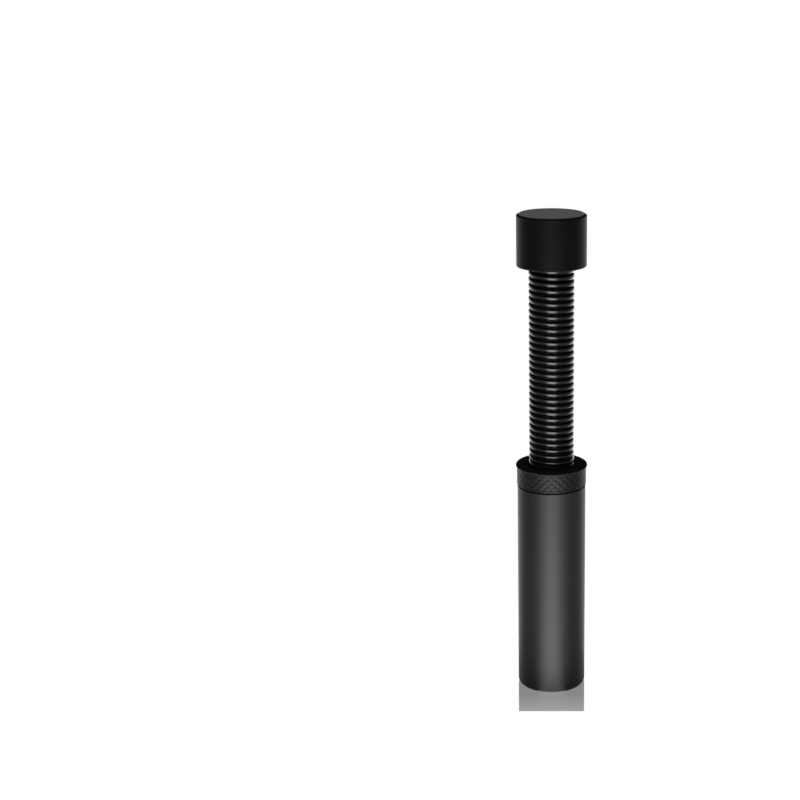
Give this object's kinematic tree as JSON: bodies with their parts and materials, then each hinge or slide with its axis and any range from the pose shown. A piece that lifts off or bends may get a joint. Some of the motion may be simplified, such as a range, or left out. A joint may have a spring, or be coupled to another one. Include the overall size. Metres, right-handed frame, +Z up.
{
  "type": "graphics card support bracket",
  "caption": "Small free-standing screw jack: a magnetic tube foot, a knurled adjusting ring, a threaded rod and a cylindrical head with a soft pad, which props up the free edge of a card.",
  "frame": {"origin": "centre of the face of the foot that the support stands on", "axes": "+Z up along the axis of the tube and the rod; X and Y lie in the floor, and the part is round about Z"},
  "size_m": [0.0166, 0.0166, 0.1145],
  "materials": {
    "tube": "satin",
    "foot_pad": "matte",
    "magnet": "satin",
    "washer": "matte",
    "snap_ring": "satin",
    "ring": "satin",
    "rod": "gloss",
    "head": "matte",
    "head_pad": "matte"
  },
  "bodies": {
    "base": {"base_tube": "tube", "foot_pad": "foot_pad", "base_magnet": "magnet", "slide_washer": "washer", "snap_ring": "snap_ring"},
    "ring": {"adjusting_ring": "ring"},
    "jack": {"threaded_rod": "rod", "head_cap": "head", "head_pad": "head_pad"}
  },
  "joints": [
    {"name": "ring_turn", "type": "hinge", "parent": "base", "child": "ring", "pos_m": [0, 0, 0.053], "axis": [0, 0, 1], "range_deg": [-11256, 0]},
    {"name": "head_lift", "type": "slide", "parent": "base", "child": "jack", "axis": [0, 0, 1], "range_m": [-0.0469, 0]}
  ],
  "couplings": [
    {"joint": "ring_turn", "follows": "head_lift", "rad_per_m": 4188.8}
  ]
}
